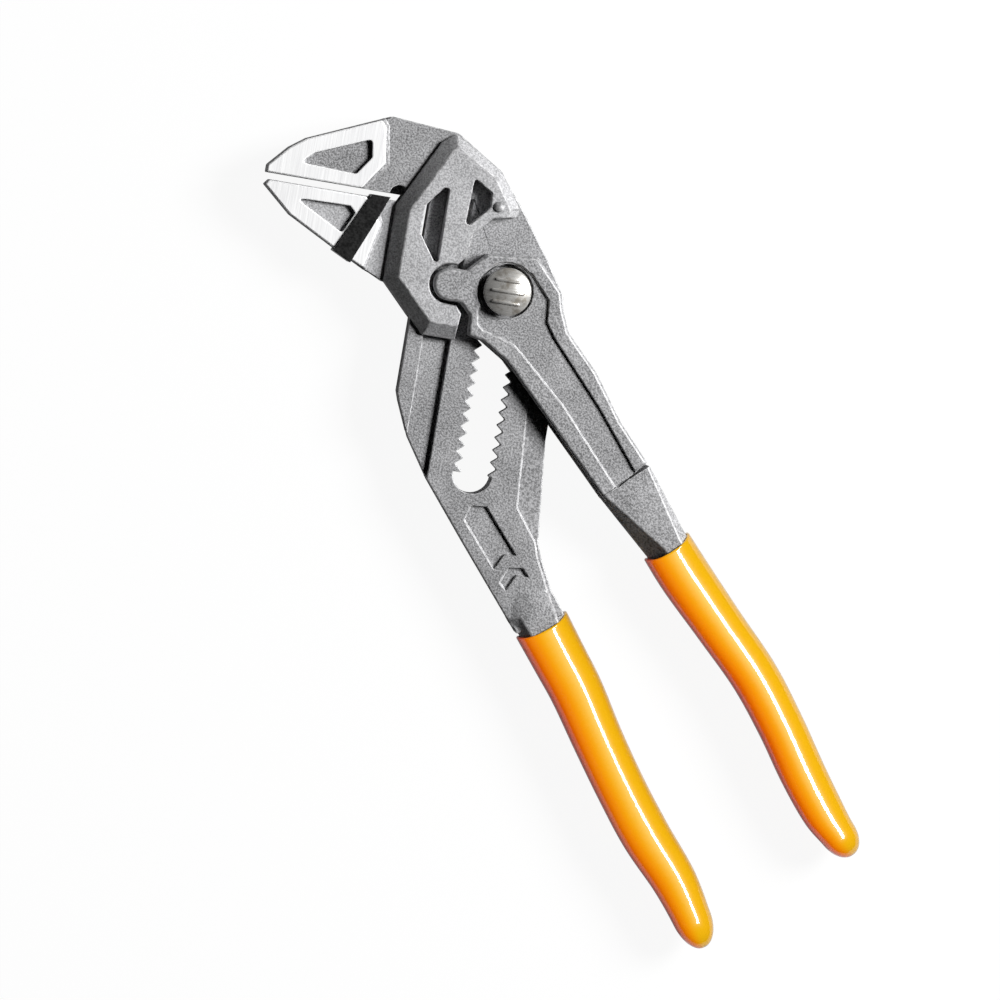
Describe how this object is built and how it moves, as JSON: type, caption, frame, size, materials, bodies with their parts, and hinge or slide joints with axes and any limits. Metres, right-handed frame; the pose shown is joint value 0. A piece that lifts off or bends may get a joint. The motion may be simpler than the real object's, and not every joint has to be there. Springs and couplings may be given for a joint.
{
  "type": "pliers wrench",
  "caption": "Pliers wrench with smooth parallel jaws, a sliding lower jaw driven by a pivoting lever, a push-button bolt in a toothed slot, and dipped sleeve handles.",
  "frame": {"origin": "the pivot axis at the bolt's rear end, on the surface that the tool lies on", "axes": "+Z out of the button side, +Y along the toothed slot in the direction that closes the jaws, jaws pointing to -X"},
  "size_m": [0.1976, 0.217, 0.0226],
  "materials": {
    "forged_steel": "shot-blasted forging with bare ground jaw sides",
    "bright_steel": "smooth turned steel",
    "grip_vinyl": "glossy dipped orange-yellow vinyl",
    "band_rubber": "satin black flat band"
  },
  "bodies": {
    "fixed_jaw": {"fixed_jaw_lever": "forged_steel", "fixed_grip": "grip_vinyl"},
    "carriage": {"spring_washer": "bright_steel", "button_spring": "bright_steel"},
    "pivot_lever": {"pivot_lever": "forged_steel", "pivot_grip": "grip_vinyl"},
    "sliding_jaw": {"sliding_jaw": "forged_steel", "jaw_band": "band_rubber", "cheek_rivet": "bright_steel"},
    "bolt": {"hinge_bolt": "bright_steel", "push_button": "bright_steel"}
  },
  "joints": [
    {"name": "size_adjust", "type": "slide", "parent": "fixed_jaw", "child": "carriage", "axis": [0, 1, 0], "range_m": [-0.04266, 0]},
    {"name": "handle_swing", "type": "hinge", "parent": "carriage", "child": "pivot_lever", "pos_m": [0, 0, 0.0093], "axis": [0, 0, 1], "range_deg": [0, 13]},
    {"name": "jaw_stroke", "type": "slide", "parent": "carriage", "child": "sliding_jaw", "axis": [0, -1, 0], "range_m": [0, 0.00361]},
    {"name": "button_press", "type": "slide", "parent": "carriage", "child": "bolt", "axis": [0, 0, -1], "range_m": [0, 0.0032], "stiffness_N_per_m": 2500, "springref_m": -0.002, "deforming": ["button_spring"]}
  ],
  "couplings": [
    {"joint": "jaw_stroke", "follows": "handle_swing", "m_per_rad": 0.0159}
  ]
}
